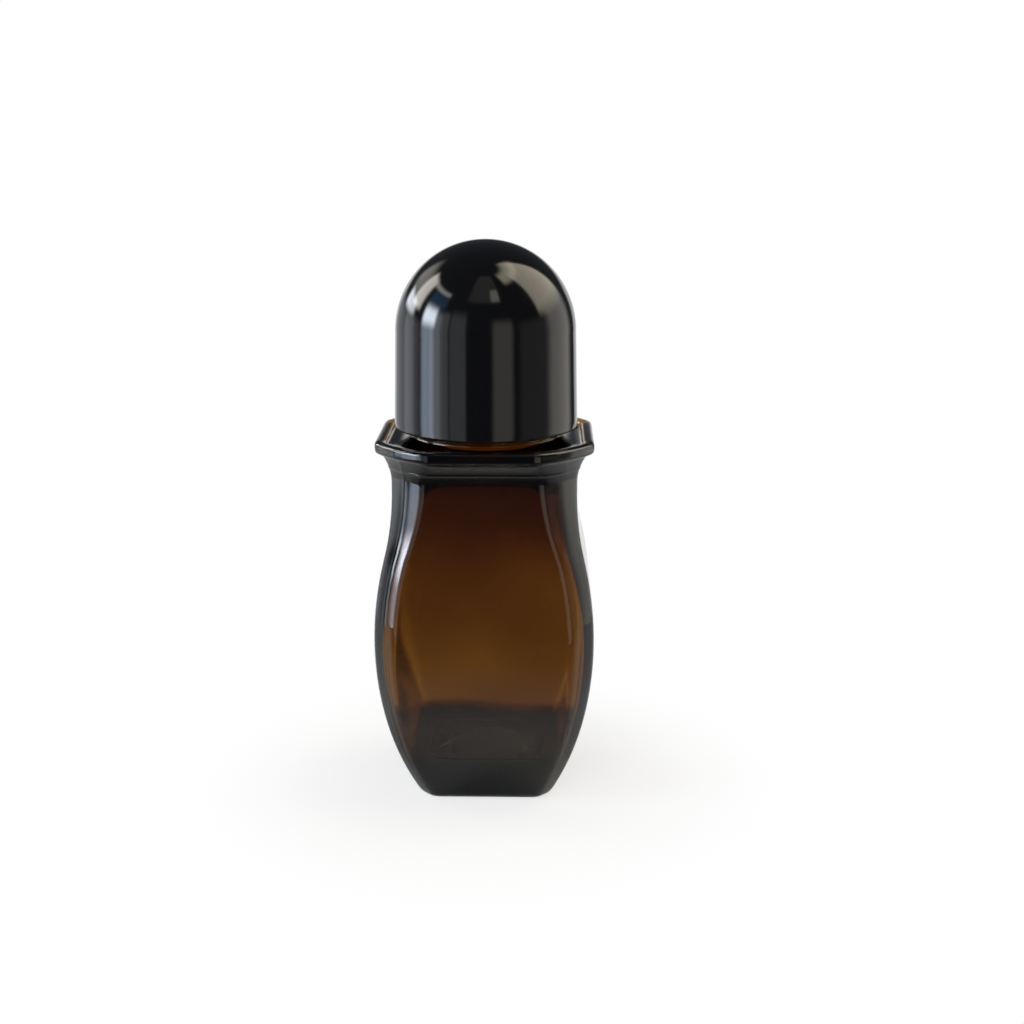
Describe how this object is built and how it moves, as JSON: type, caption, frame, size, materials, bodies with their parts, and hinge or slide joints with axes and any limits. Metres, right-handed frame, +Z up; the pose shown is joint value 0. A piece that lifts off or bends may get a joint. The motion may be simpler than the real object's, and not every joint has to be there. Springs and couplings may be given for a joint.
{
  "type": "roll-on bottle",
  "caption": "Waisted square amber glass roll-on bottle with a plastic ball in a snap-in housing and a black domed screw cap.",
  "frame": {"origin": "centre of the base, on the plane that the bottle stands on", "axes": "+Z up the bottle's axis towards the cap, -Y towards the front panel"},
  "size_m": [0.04, 0.04, 0.104],
  "materials": {
    "amber_glass": "dark amber moulded glass, smooth fire-polished surface, thick base",
    "natural_plastic": "natural low-density polyethylene, satin, slightly translucent",
    "ball_plastic": "smooth white polypropylene",
    "black_plastic": "high-gloss black moulded polypropylene"
  },
  "bodies": {
    "bottle": {"glass_bottle": "amber_glass", "ball_housing": "natural_plastic"},
    "ball": {"roller_ball": "ball_plastic"},
    "cap": {"cap": "black_plastic"}
  },
  "joints": [
    {"name": "ball_roll", "type": "hinge", "parent": "bottle", "child": "ball", "pos_m": [0, 0, 0.08697], "axis": [1, 0, 0], "continuous": true},
    {"name": "cap_lift", "type": "slide", "parent": "bottle", "child": "cap", "axis": [0, 0, 1], "range_m": [0, 0.04]}
  ]
}
